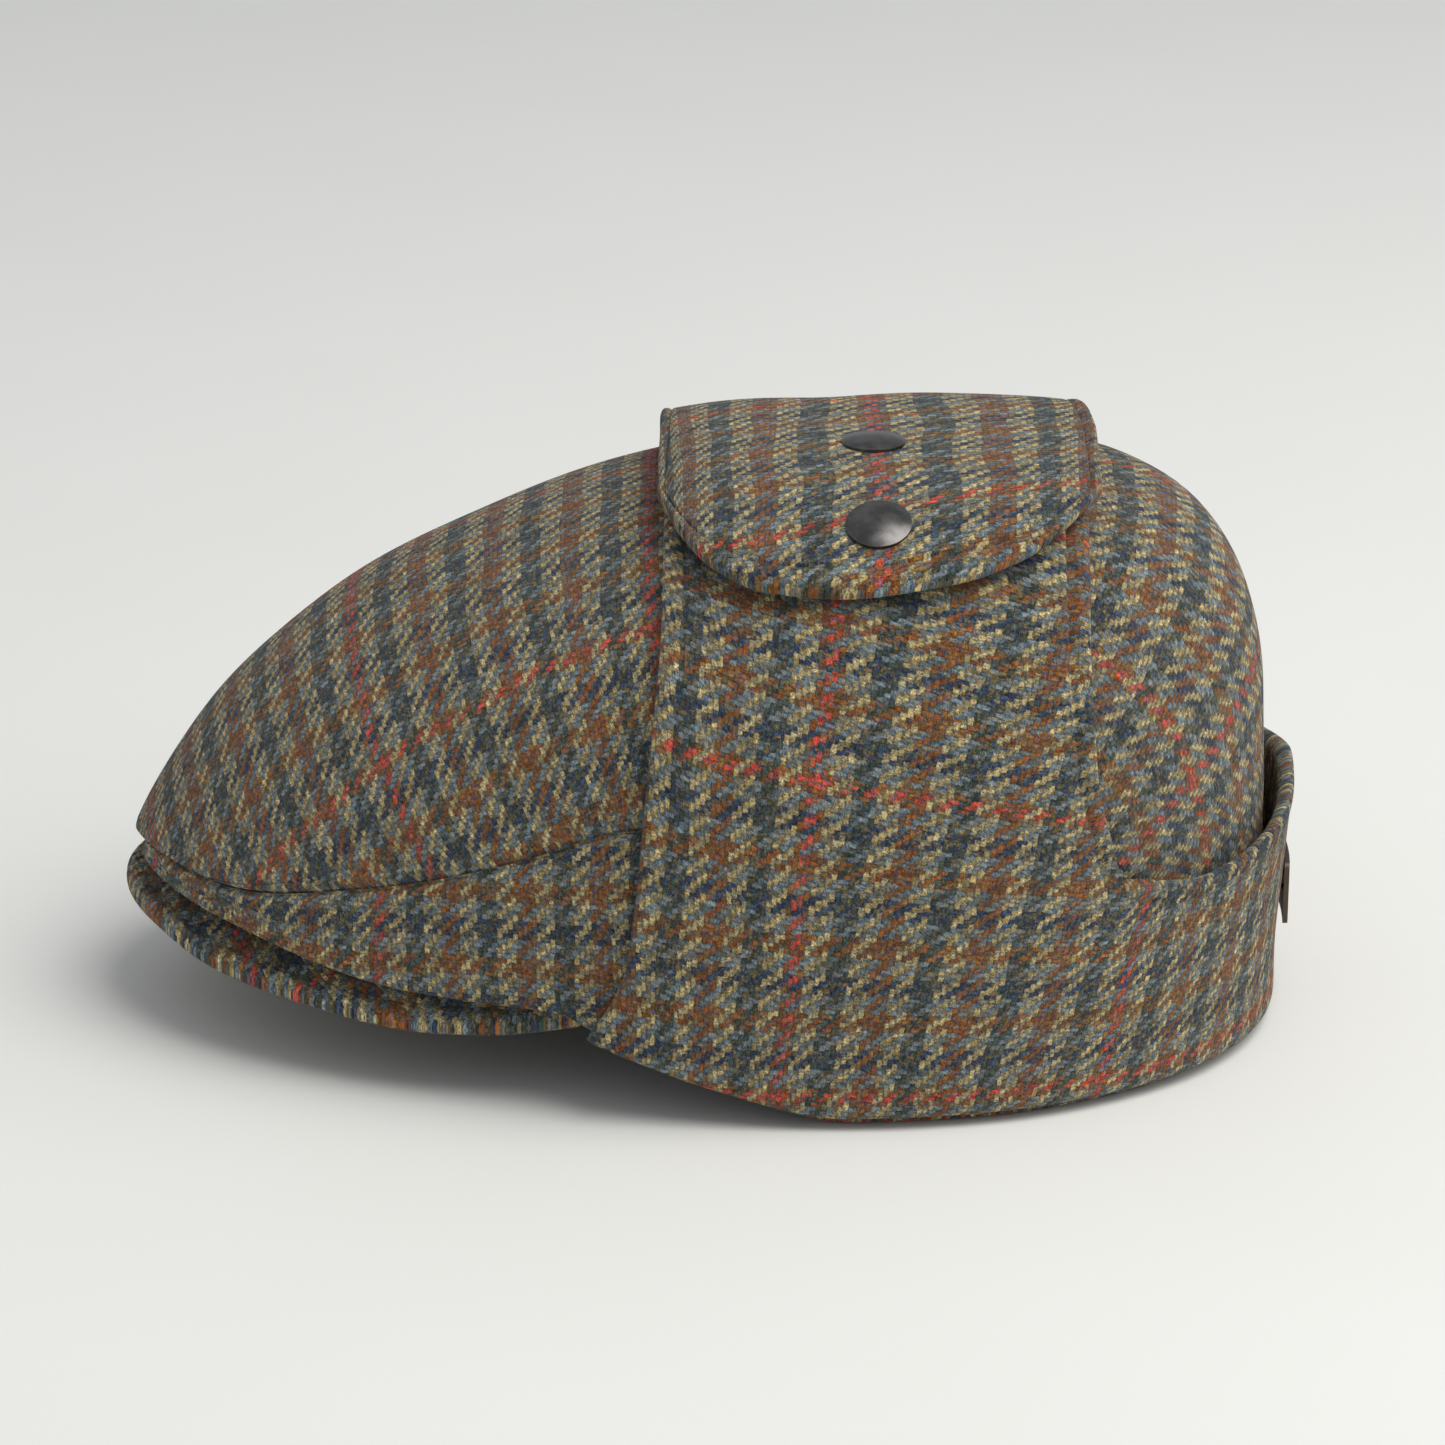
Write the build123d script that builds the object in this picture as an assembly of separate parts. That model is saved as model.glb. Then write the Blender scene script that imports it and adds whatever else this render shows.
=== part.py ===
from build123d import *
import math
import os

# A tweed flat cap whose ear flaps and neck band fold up outside the crown.
# The right flap lies over the left one on top, and two snaps hold them together.
# Frame: -Y is the front (the peak), +X the wearer's left, +Z up, Z = 0 the surface it stands on.

# Crown, measured on the outside of its cloth
HEAD_Y = 22.0                # middle of the head opening, along the cap
TO_ORIGIN = 1.69             # moves the finished cap so that its middle is over the origin
CROWN_HEIGHT = 131.0
CROWN_REAR = 110.0           # from the middle of the head opening to the back
CROWN_SIDE = 87.0
CROWN_FRONT = 170.0
HEAD_FRONT = 108.0           # from the middle of the head opening to the forehead
ROUND_SIDE = 3.3             # how square a vertical section is: 2 is an ellipse
ROUND_REAR = 5.6
ROUND_FRONT = 2.0
ROUND_HEAD = 2.5             # the same for the lining, which goes down to the forehead
PLAN_REAR = 2.3              # how square the plan is behind the head's middle

# Thicknesses
CLOTH = 1.5                  # woollen tweed
LINING = 0.7
LINING_SLACK = 1.5           # the lining hangs this far below the crown's top
SWEATBAND = 1.0
LABEL = 0.3
PEAK_BOARD = 2.0
PEAK_CLOTH = 1.3
WADDING = 0.6
LAYER_GAP = 0.1              # between layers that are sewn together
BODY_GAP = 0.4               # between pieces that move apart
SLIT = 0.8                   # between an ear flap and the neck band
SNAP_GAP = 2.3               # the snaps hold the two straps this far apart
FIT = 0.05                   # how closely a smooth face follows its points
FOOT = 0.05                  # height of the flat lower edge round the back

# Heights of edges round the crown, as (angle from the front in degrees, height)
SEAM = [(6, 44.5), (18, 42), (32, 49), (47, 59), (63, 69.5), (95, 73), (128, 58), (145, 30), (157, 0)]
SEAM_CORNER = 128.0          # where the seam turns down the back
RIM = [(6, 39), (20, 34), (37, 26.7), (54, 25), (64, 16), (80, 6), (96, 0), (157, 0)]
PEAK_EDGE = [(0, 27), (10, 25), (18, 20.5), (27, 17.5), (37, 15.2), (46, 16.5), (57, 21)]
PEAK_ROOT = [(0, 38), (30, 32), (57, 22)]
PEAK_HALF_ANGLE = 57.0
BAND_FOOT = [(0, 37), (30, 31), (57, 21), (64, 16.5), (80, 7), (96, 1), (180, 1)]
BAND_WIDTH = 32.0
NECK_TOP = [(134, 53.5), (147, 49), (160, 51), (180, 57)]
NECK_LEAN = 3.0              # how far the top of the neck band stands off at the back

# Flap edges over the crown, as (tilt from upright in degrees, distance along Y)
FLAP_FRONT = [(0, -10.5), (28, -11), (50, -15), (66, -18.5), (78, -29)]
FLAP_REAR = [(0, 85.5), (34, 83.5), (44, 85), (50, 88.5), (56, 91), (90, 91.7)]
FLAP_BOTTOM = [(-29, 76.6), (0, 84), (30, 88.5), (92, 88.2)]   # (distance along Y, tilt)
TONGUE_TIP = [(-9, 15), (-4, 21.5), (3, 26.2), (15, 29.4), (31, 30.2), (53, 29), (69, 26), (78, 22), (86, 16)]

KNEE_TILT = 30.0             # where each flap bends over the crown's shoulder
UNDER_STRAP_END = 0.5        # tilt at which the under strap ends, just short of the middle
RAMP = (-27.0, -5.0)         # tilts between which the over strap climbs onto the under strap
FOLD_HEIGHT = 2.2            # lower edge of the flaps, above their fold

# Snaps, on the middle line of the tongue
SNAP_Y = 36.0
SNAP_X = (16.0, 56.0)
CAP_DIAMETER = 15.0
CAP_RISE = 2.0
CAP_RIM = 0.6
CAP_SEAT = 0.15              # gap under the cap at the middle of the curved cloth
SOCKET_DIAMETER = 10.5
SOCKET_HEIGHT = 0.5
SOCKET_SEAT = 0.75           # below the facing, which curves down round it
STUD_DIAMETER = 9.0
STUD_FLANGE = 0.35
STUD_BOSS = 3.4
STUD_RISE = 0.7
EYELET_HEIGHT = 0.5
SHANK_DIAMETER = 3.0
SHANK_HOLE = 4.0
RING_CLEARANCE = 0.1         # round the shank, inside the socket and the eyelet

# Name plate at the back, left blank
PLATE_WIDTH = 28.0
PLATE_HEIGHT = 16.0
PLATE_THICKNESS = 1.2
PLATE_CORNER = 2.0
PLATE_CENTRE = 27.0
PRONG_SPACING = 18.0
PRONG_DIAMETER = 1.6

FLAP = 2 * CLOTH + WADDING + 2 * LAYER_GAP
UNDER_LAYER = BODY_GAP                       # inner face of a flap that lies on the crown
OVER_LAYER = BODY_GAP + FLAP + SNAP_GAP      # inner face of the strap that lies on the other


def between(points, x):
    """Height of a smooth curve through the points, level at each local peak."""
    if x <= points[0][0]:
        return points[0][1]
    for i in range(len(points) - 1):
        (x0, y0), (x1, y1) = points[i], points[i + 1]
        if x <= x1:
            m0, m1 = slope(points, i), slope(points, i + 1)
            w, t = x1 - x0, (x - x0) / (x1 - x0)
            bend = (t**3 - 2 * t**2 + t) * m0 + (t**3 - t**2) * m1
            return y0 + (3 * t**2 - 2 * t**3) * (y1 - y0) + w * bend
    return points[-1][1]


def slope(points, i):
    """Slope of that curve at point i: the harmonic mean of the slopes beside it."""
    steps = [(b[1] - a[1]) / (b[0] - a[0]) for a, b in zip(points, points[1:])]
    before, after = steps[max(i - 1, 0)], steps[min(i, len(steps) - 1)]
    if before * after <= 0:
        return 0.0
    return 2 * before * after / (before + after)


def mix(a, b, t):
    return a + (b - a) * t


class Dome:
    """A rounded shell about the middle of the head opening, and the layers outside and inside it."""

    def __init__(self, front, front_round, height):
        self.front = front
        self.front_round = front_round
        self.height = height

    def plan(self, angle):
        """Radius of the dome's foot at an angle from the front, in radians."""
        along, across = math.cos(angle), abs(math.sin(angle))
        reach, power = (self.front, 2.0) if along > 0 else (CROWN_REAR, PLAN_REAR)
        return ((abs(along) / reach)**power + (across / CROWN_SIDE)**power)**(-1 / power)

    def roundness(self, angle):
        end = self.front_round if math.cos(angle) > 0 else ROUND_REAR
        return ROUND_SIDE + (end - ROUND_SIDE) * math.cos(angle)**2

    def ring(self, angle, height, offset):
        """The point at an angle in degrees and a height, on a layer outside the dome."""
        turn = math.radians(angle)
        power = self.roundness(turn)
        share = max(0.0, 1 - (height / (self.height + offset))**power)
        reach = (self.plan(turn) + offset) * share**(1 / power)
        return (reach * math.sin(turn), HEAD_Y - reach * math.cos(turn), height)

    def outside(self, point, offset):
        """Negative inside a layer and positive outside it."""
        x, y, z = point[0], point[1] - HEAD_Y, point[2]
        angle = math.atan2(x, -y)
        power = self.roundness(angle)
        foot = math.hypot(x, y) / (self.plan(angle) + offset)
        return foot**power + (max(z, 0.0) / (self.height + offset))**power - 1

    def lift(self, point, offset):
        """The point moved to a layer, along the line from the middle of the head opening."""
        power = self.roundness(math.atan2(point[0], HEAD_Y - point[1]))
        scale = (1 + self.outside(point, offset))**(-1 / power)
        return (point[0] * scale, HEAD_Y + (point[1] - HEAD_Y) * scale, point[2] * scale)

    def over(self, y, tilt, offset):
        """The point above the line X = Z = 0 at y, in the direction tilted from upright."""
        side, up = math.sin(math.radians(tilt)), math.cos(math.radians(tilt))
        near, far = 0.0, 2 * self.height
        for _ in range(40):
            middle = (near + far) / 2
            if self.outside((middle * side, y, middle * up), offset) > 0:
                far = middle
            else:
                near = middle
        return (near * side, y, near * up)


CROWN = Dome(CROWN_FRONT, ROUND_FRONT, CROWN_HEIGHT)
HEAD = Dome(HEAD_FRONT, ROUND_HEAD, CROWN_HEIGHT - LINING_SLACK)


def curved_slab(place, outer, inner, across, along):
    """Closed solid between two layers of place(s, t, layer), with s and t from 0 to 1."""
    skins = []
    for layer in (outer, inner):
        grid = [[place(i / across, j / along, layer) for i in range(across + 1)] for j in range(along + 1)]
        skins.append(Face.make_surface_from_array_of_points(grid, tol=FIT, min_deg=3))
    pairs = zip(skins[0].edges(), skins[1].edges())
    walls = [Face.make_surface_from_curves(a, b) for a, b in pairs]
    return Solid(Shell(skins + walls))


def save(name, *solids):
    """Write one node over the origin; a group of equal pieces is one node."""
    placed = [Pos(0, TO_ORIGIN, 0) * solid for solid in solids]
    shape = placed[0] if len(placed) == 1 else Compound(children=placed)
    export_step(shape, f"parts/{name}.step")


def save_pair(name, left):
    """Write a piece and its mirror image on the other side of the cap."""
    save(f"left_{name}", left)
    save(f"right_{name}", mirror(left, about=Plane.YZ))


# Crown shell and lining

def side_panel(dome, outer, inner, lift=0.0):
    """The left side, from the lower edge up to the long seam, which also closes it at the back."""
    seam_top = between(SEAM, SEAM_CORNER)

    def place(s, t, layer):
        last = mix(SEAM[-1][0], SEAM_CORNER, s) - LAYER_GAP - 0.5 * lift
        angle = mix(SEAM[0][0], last, t)
        low, high = between(RIM, angle) + lift, between(SEAM, min(angle, SEAM_CORNER))
        height = mix(low, high - LAYER_GAP, s)
        height += t**6 * (between(SEAM, last) - mix(lift, seam_top, s)) * (1 - s)
        return dome.lift(dome.ring(angle, max(height, lift), 0.0), layer)

    return curved_slab(place, outer, inner, 10, 32)


def top_panel(dome, outer, inner, lift=0.0):
    """The long middle panel, from the front rim over the top and down the back."""
    first, last = SEAM[0][0], SEAM[-1][0]
    front_lip = between(SEAM, first) - between(RIM, first)

    def place(s, t, layer):
        angle = mix(first, last, t)
        x, y, z = dome.ring(angle, max(between(SEAM, angle) + LAYER_GAP * (1 - t), lift), 0.0)
        lip = front_lip * 4 * s * (1 - s) * (1 - t)**8
        return dome.lift((mix(-x, x, s), y, z - lip), layer)

    return curved_slab(place, outer, inner, 16, 34)


def flat_footed(solid):
    """The solid cut off level at the foot, which the cap rests on."""
    size = 4 * CROWN_FRONT
    keep = Pos(0, 0, FOOT + size / 2) * Box(size, size, size)
    return (solid & keep).solid()


def crown_shell():
    save("top_panel", flat_footed(top_panel(CROWN, 0.0, -CLOTH)))
    save_pair("side_panel", flat_footed(side_panel(CROWN, 0.0, -CLOTH)))


def crown_lining():
    face = -CLOTH - LAYER_GAP
    save("top_lining", top_panel(HEAD, face, face - LINING, 3.0))
    save_pair("side_lining", side_panel(HEAD, face, face - LINING, 3.0))


def sweatband():
    """A band round the head opening, butted at the back, with a blank label over the joint."""
    face = -CLOTH - LINING - 2 * LAYER_GAP
    joint = 0.4

    def place(s, t, layer):
        angle = mix(joint - 180, 180 - joint, t)
        foot = between(BAND_FOOT, abs(angle))
        return HEAD.lift(HEAD.ring(angle, foot + s * BAND_WIDTH, 0.0), layer)

    save("sweatband", curved_slab(place, face, face - SWEATBAND, 6, 48))
    behind = face - SWEATBAND - LAYER_GAP

    def label_place(s, t, layer):
        return HEAD.lift(HEAD.ring(mix(172, 188, t), mix(8, 24, s), 0.0), layer)

    save("size_label", curved_slab(label_place, behind, behind - LABEL, 4, 8))


# Peak: a stiff board between two cloth covers

def peak_layer(low, high, root=0.0, edge=1.0, half_angle=PEAK_HALF_ANGLE):
    """A layer of the peak between two heights above its underside."""

    def place(s, t, layer):
        angle = mix(-half_angle, half_angle, t)
        near = HEAD.ring(angle, between(PEAK_ROOT, abs(angle)), 0.0)
        near = HEAD.lift(near, -1.0)
        far = CROWN.ring(angle, between(PEAK_EDGE, abs(angle)), -CLOTH - BODY_GAP)
        share = mix(root, edge, s)
        x, y, z = (mix(a, b, share) for a, b in zip(near, far))
        return (x, y, z + layer)

    return curved_slab(place, high, low, 6, 36)


def peak():
    board_foot = PEAK_CLOTH + LAYER_GAP
    board_top = board_foot + PEAK_BOARD
    save("peak_under_cover", peak_layer(0.0, PEAK_CLOTH))
    save("peak_board", peak_layer(board_foot, board_top, 0.05, 0.96, PEAK_HALF_ANGLE - 2))
    save("peak_top_cover", peak_layer(board_top + LAYER_GAP, board_top + LAYER_GAP + PEAK_CLOTH))


# Flaps: each is a facing against the crown, wadding, and the cloth that shows

def flap_layers(base):
    """Inner and outer layers of the facing, wadding and cloth of a flap on a base layer."""
    facing = (base, base + CLOTH)
    wadding = (facing[1] + LAYER_GAP, facing[1] + LAYER_GAP + WADDING)
    cloth = (wadding[1] + LAYER_GAP, wadding[1] + LAYER_GAP + CLOTH)
    return {"facing": facing, "wadding": wadding, "cloth": cloth}


def inset(share, piece):
    """Wadding stops short of the edges, inside the turned seams."""
    return mix(0.06, 0.94, share) if piece == "wadding" else share


def ear_piece(piece, inner, outer):
    """The left ear flap, from its fold up to the crown's shoulder."""

    def place(s, t, layer):
        s, t = inset(s, piece), inset(t, piece)
        foot_y = mix(FLAP_BOTTOM[0][0], FLAP_BOTTOM[-1][0], s)
        tilt = mix(KNEE_TILT + LAYER_GAP, between(FLAP_BOTTOM, foot_y), t)
        y = mix(between(FLAP_FRONT, tilt), between(FLAP_REAR, tilt), s)
        return CROWN.lift(CROWN.over(y, tilt, 0.0), layer)

    return curved_slab(place, outer, inner, 16, 24)


def strap_point(s, tilt, layer):
    """A point on a strap over the crown; the left strap has positive tilts."""
    y = mix(between(FLAP_FRONT, abs(tilt)), between(FLAP_REAR, abs(tilt)), s)
    return CROWN.lift(CROWN.over(y, tilt, 0.0), layer)


def under_strap(piece, inner, outer):
    """The left strap, from the shoulder to just short of the middle."""

    def place(s, t, layer):
        s, t = inset(s, piece), inset(t, piece)
        return strap_point(s, mix(KNEE_TILT - 2 * LAYER_GAP, UNDER_STRAP_END, t), layer)

    return curved_slab(place, outer, inner, 14, 10)


def climb(tilt):
    """How far up the over strap is: 0 where it lies on the crown, 1 on the under strap."""
    share = min(1.0, max(0.0, (tilt - RAMP[0]) / (RAMP[1] - RAMP[0])))
    return share * share * (3 - 2 * share)


def over_strap(piece, inner, outer):
    """The right strap, from its shoulder over the top to the rounded tongue."""

    def place(s, t, layer):
        s, t = inset(s, piece), inset(t, piece)
        tip = between(TONGUE_TIP, mix(TONGUE_TIP[0][0], TONGUE_TIP[-1][0], s))
        tilt = mix(2 * LAYER_GAP - KNEE_TILT, KNEE_TILT, t) - (KNEE_TILT - tip) * t**4
        return strap_point(s, tilt, layer + climb(tilt) * (OVER_LAYER - UNDER_LAYER))

    return curved_slab(place, outer, inner, 12, 30)


def neck_start(height):
    """Angle at which the neck band starts, just behind the ear flap's edge."""
    tilt = math.degrees(math.atan2(CROWN_SIDE * 0.8, height))
    x, y, _ = CROWN.over(between(FLAP_REAR, tilt) + SLIT, tilt, 0.0)
    return math.degrees(math.atan2(x, HEAD_Y - y))


def neck_piece(piece, inner, outer):
    """The neck band round the back, standing off a little at its top."""

    def place(s, t, layer):
        s, t = inset(s, piece), inset(t, piece)
        first = neck_start(mix(FOLD_HEIGHT, NECK_TOP[0][1], s))
        angle = mix(first, 360 - first, t)
        from_front = angle if angle < 180 else 360 - angle
        height = mix(FOLD_HEIGHT, between(NECK_TOP, from_front), s)
        lean = NECK_LEAN * s * s * (1 - ((angle - 180) / (180 - first))**2)
        return CROWN.lift(CROWN.ring(angle, height, 0.0), layer + lean)

    return curved_slab(place, outer, inner, 8, 36)


# Snaps

def frame_at(x, layer):
    """A plane on the straps at a snap, with its Z axis square to the cloth."""
    step = 0.5

    def point(dx, dy):
        y = SNAP_Y + dy
        tilt = math.degrees(math.atan2(x + dx, CROWN_HEIGHT))
        return Vector(*CROWN.lift(CROWN.over(y, tilt, 0.0), layer))

    across = point(step, 0) - point(-step, 0)
    along = point(0, step) - point(0, -step)
    return Plane(origin=point(0, 0), x_dir=across, z_dir=across.cross(along))


def disc(radius, foot, height):
    """An upright cylinder from foot to foot + height."""
    return Pos(0, 0, foot + height / 2) * Cylinder(radius, height)


def snap_planes(layer):
    return [frame_at(x, layer) for x in SNAP_X]


def drilled(solid, planes, radius=SHANK_HOLE / 2, foot=-8.0, height=16.0):
    """The solid with a round hole at each snap."""
    for plane in planes:
        solid = solid - plane * disc(radius, foot, height)
    return solid.solid()


def snap_cap():
    """A shallow domed cap with a thin rim and a shank through the strap."""
    edge, bulge = CAP_DIAMETER / 2, CAP_RISE - CAP_RIM
    radius = (edge**2 + bulge**2) / (2 * bulge)
    ball = Pos(0, 0, CAP_SEAT + CAP_RISE - radius) * Sphere(radius)
    dome = disc(edge, CAP_SEAT, CAP_RISE) & ball
    depth = FLAP + SOCKET_SEAT
    return dome + disc(SHANK_DIAMETER / 2, -depth, depth + CAP_SEAT + CAP_RIM)


def clenched(ring):
    """The ring with its hole for the shank."""
    return ring - disc(SHANK_DIAMETER / 2 + RING_CLEARANCE, -2 * FLAP, 2 * FLAP)


def snap_socket():
    """The ring clenched on the shank below the over strap."""
    return clenched(disc(SOCKET_DIAMETER / 2, -FLAP - SOCKET_SEAT - SOCKET_HEIGHT, SOCKET_HEIGHT))


def snap_stud():
    """The flanged stud on the under strap, with its shank."""
    flange = disc(STUD_DIAMETER / 2, LAYER_GAP, STUD_FLANGE)
    boss = disc(STUD_BOSS / 2, LAYER_GAP, STUD_RISE)
    return flange + boss + disc(SHANK_DIAMETER / 2, LAYER_GAP - FLAP, FLAP)


def snap_eyelet():
    """The thin ring behind the stud, sunk into the facing."""
    return clenched(disc(STUD_DIAMETER / 2, LAYER_GAP - FLAP, EYELET_HEIGHT))


def straps_and_snaps():
    over_planes = snap_planes(OVER_LAYER + FLAP)
    under_planes = snap_planes(UNDER_LAYER + FLAP)
    for piece, (inner, outer) in flap_layers(UNDER_LAYER).items():
        save_pair(f"ear_{piece}", ear_piece(piece, inner, outer))
        save(f"right_strap_{piece}", drilled(over_strap(piece, inner, outer), over_planes))
        strap = drilled(under_strap(piece, inner, outer), under_planes)
        if piece == "facing":
            strap = drilled(strap, under_planes, STUD_DIAMETER / 2 + 0.2, -FLAP - 0.6, 1.4)
        save(f"left_strap_{piece}", strap)
    save("snap_caps", *[plane * snap_cap() for plane in over_planes])
    save("snap_sockets", *[plane * snap_socket() for plane in over_planes])
    save("snap_studs", *[plane * snap_stud() for plane in under_planes])
    save("snap_eyelets", *[plane * snap_eyelet() for plane in under_planes])


# Neck band and its name plate

def prongs(diameter, first_y, last_y):
    """Two pins along Y through the band."""
    pin = Rot(90, 0, 0) * Cylinder(diameter / 2, last_y - first_y)
    middle = (first_y + last_y) / 2
    return [Pos(side * PRONG_SPACING / 2, middle, PLATE_CENTRE) * pin for side in (-1, 1)]


def neck_band():
    back = HEAD_Y + CROWN_REAR
    holes = prongs(PRONG_DIAMETER + 0.6, back - 1, back + 12)
    pocket = Pos(0, back + UNDER_LAYER, PLATE_CENTRE) * Box(PRONG_SPACING + 7, 3.4, 6)
    for piece, (inner, outer) in flap_layers(UNDER_LAYER).items():
        band = neck_piece(piece, inner, outer) - holes
        if piece == "facing":
            band = band - pocket
        save(f"neck_band_{piece}", band.solid())


def name_plate():
    """A blank curved plate on two prongs, with a backing strip sunk into the facing."""
    back = HEAD_Y + CROWN_REAR
    half_angle = math.degrees(PLATE_WIDTH / 2 / CROWN_REAR) + 2
    face = UNDER_LAYER + FLAP + NECK_LEAN * 0.5

    def place(s, t, layer):
        angle = mix(180 - half_angle, 180 + half_angle, t)
        return CROWN.lift(CROWN.ring(angle, PLATE_CENTRE + (s - 0.5) * (PLATE_HEIGHT + 2), 0.0), layer)

    blank = RectangleRounded(PLATE_WIDTH, PLATE_HEIGHT, PLATE_CORNER)
    cutter = Pos(0, back + 20, PLATE_CENTRE) * Rot(90, 0, 0) * extrude(blank, 40)
    plate = curved_slab(place, face + PLATE_THICKNESS, face, 6, 10) & cutter
    pins = prongs(PRONG_DIAMETER, back + UNDER_LAYER + 0.2, back + face + 0.4)
    save("name_plate", (plate + pins).solid())
    strip = Pos(0, back + UNDER_LAYER + 0.9, PLATE_CENTRE) * Box(PRONG_SPACING + 6, 0.5, 5)
    save("plate_backing", (strip - prongs(PRONG_DIAMETER + 0.2, back - 1, back + 5)).solid())


os.makedirs("parts", exist_ok=True)
crown_shell()
crown_lining()
sweatband()
peak()
straps_and_snaps()
neck_band()
name_plate()
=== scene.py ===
import math

import bpy
import numpy as np
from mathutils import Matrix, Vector


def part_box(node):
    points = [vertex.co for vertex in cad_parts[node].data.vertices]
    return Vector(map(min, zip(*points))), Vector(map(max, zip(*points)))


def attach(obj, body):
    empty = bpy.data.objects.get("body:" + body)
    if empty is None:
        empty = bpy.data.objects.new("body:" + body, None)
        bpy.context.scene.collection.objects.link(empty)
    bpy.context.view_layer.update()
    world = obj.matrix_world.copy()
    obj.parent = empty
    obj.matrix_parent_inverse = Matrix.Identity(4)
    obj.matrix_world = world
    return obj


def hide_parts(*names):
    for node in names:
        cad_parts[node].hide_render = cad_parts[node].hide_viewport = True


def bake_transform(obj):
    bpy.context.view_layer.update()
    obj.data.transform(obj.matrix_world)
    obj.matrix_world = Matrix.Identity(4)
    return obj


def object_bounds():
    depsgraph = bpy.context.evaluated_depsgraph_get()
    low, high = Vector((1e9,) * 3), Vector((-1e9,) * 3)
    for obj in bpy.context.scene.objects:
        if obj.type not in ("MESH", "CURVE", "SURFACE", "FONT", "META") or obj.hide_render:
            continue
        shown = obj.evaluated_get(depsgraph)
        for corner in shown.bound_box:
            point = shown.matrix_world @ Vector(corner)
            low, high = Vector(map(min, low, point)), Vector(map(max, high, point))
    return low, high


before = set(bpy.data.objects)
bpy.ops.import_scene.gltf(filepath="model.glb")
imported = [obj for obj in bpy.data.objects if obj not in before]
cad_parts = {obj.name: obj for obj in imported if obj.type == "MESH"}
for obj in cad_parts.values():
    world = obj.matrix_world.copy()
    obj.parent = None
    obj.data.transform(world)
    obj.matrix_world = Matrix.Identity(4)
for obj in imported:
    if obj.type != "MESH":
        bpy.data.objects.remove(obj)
cad_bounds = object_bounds()

# The shapes are worked out in millimetres, with the crown's form read from the frame.
MM = 0.001
CROWN_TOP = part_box("top_panel")[1] / MM
CROWN_HEIGHT = CROWN_TOP.z
CROWN_REAR = 110.0
CROWN_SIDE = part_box("left_side_panel")[1].x / MM
CROWN_FRONT = 170.0
SHIFT = 1.69                 # the frame's origin, along Y in the pattern that the heights below come from
HEAD_Y = CROWN_TOP.y - CROWN_REAR - SHIFT
HEAD_FRONT = 108.0
ROUND_SIDE, ROUND_REAR, ROUND_FRONT, ROUND_HEAD, PLAN_REAR = 3.3, 5.6, 2.0, 2.5, 2.3
LINING_SLACK = 1.5

CLOTH, LINING, SWEATBAND, LABEL = 1.5, 0.7, 1.0, 0.3
LAYER_GAP = 0.1
BODY_GAP = 0.4
PEAK = 4.8
FLAP = 3.8
UNDER_LAYER = BODY_GAP
OVER_LAYER = 6.5

SEAM = [(6, 44.5), (18, 42), (32, 49), (47, 59), (63, 69.5), (95, 73), (128, 58), (145, 30), (157, 0)]
SEAM_CORNER = 128.0
RIM = [(6, 39), (20, 34), (37, 26.7), (54, 25), (64, 16), (80, 6), (96, 0), (157, 0)]
PEAK_EDGE = [(0, 27), (10, 25), (18, 20.5), (27, 17.5), (37, 15.2), (46, 16.5), (57, 21)]
PEAK_ROOT = [(0, 38), (30, 32), (57, 22)]
BAND_FOOT = [(0, 37), (30, 31), (57, 21), (64, 16.5), (80, 7), (96, 1), (180, 1)]
BAND_WIDTH = 32.0
LABEL_TURN, LABEL_HEIGHT = (172, 188), (8, 24)
BAND_JOINT = 0.4             # half the gap, in degrees round the head, where the sweatband's ends meet
FOOT = 0.05                  # the cloth's lowest edge is this far above the surface
LINING_LIFT = 3.0            # the lining starts this far above the cloth's edges
NECK_TOP = [(134, 53.5), (147, 49), (160, 51), (180, 57)]
NECK_LEAN = 3.0
FOLD_HEIGHT = 2.2
FLAP_FRONT = [(0, -10.5), (28, -11), (50, -15), (66, -18.5), (78, -29)]
FLAP_REAR = [(0, 85.5), (34, 83.5), (44, 85), (50, 88.5), (56, 91), (90, 91.7)]
FLAP_BOTTOM = [(-29, 76.6), (0, 84), (30, 88.5), (92, 88.2)]
TONGUE_TIP = [(-9, 15), (-4, 21.5), (3, 26.2), (15, 29.4), (31, 30.2), (53, 29), (69, 26), (78, 22), (86, 16)]
UNDER_STRAP_END = 0.5
RAMP = (-27.0, -5.0)
NECK_CUT = 58.0              # where the neck band is cut, so that the check runs on from the left flap
TOP_CUT = 34.0               # where the top panel is cut along the cloth
RIGHT_CUT = (38.7, -18.0)    # where the right flap is cut, from the left one's place in the cloth
CUT_HEIGHT = 42.0            # where the part of a flap that bends at its fold is joined to the rest
SLIT_END = (48.0, 56.0)      # a flap's rear edge meets the neck band below this, and is hemmed above it


# Curves and the dome, as the frame's own parts have them

def between(points, x):
    """A smooth curve through the points, level at each local peak, for an array of x."""
    px, py = np.array(points, float).T
    steps = np.diff(py) / np.diff(px)
    before = np.concatenate([steps[:1], steps])
    after = np.concatenate([steps, steps[-1:]])
    with np.errstate(divide="ignore", invalid="ignore"):
        slopes = np.where(before * after > 0, 2 * before * after / (before + after), 0.0)
    x = np.clip(np.asarray(x, float), px[0], px[-1])
    k = np.clip(np.searchsorted(px, x, side="left") - 1, 0, len(px) - 2)
    w = px[k + 1] - px[k]
    t = (x - px[k]) / w
    bend = (t**3 - 2 * t**2 + t) * slopes[k] + (t**3 - t**2) * slopes[k + 1]
    return py[k] + (3 * t**2 - 2 * t**3) * (py[k + 1] - py[k]) + w * bend


def mix(a, b, t):
    return a + (b - a) * t


def ease(x, low, high):
    """0 below low, 1 above high, smooth between."""
    t = np.clip((x - low) / (high - low), 0, 1)
    return t * t * (3 - 2 * t)


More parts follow.
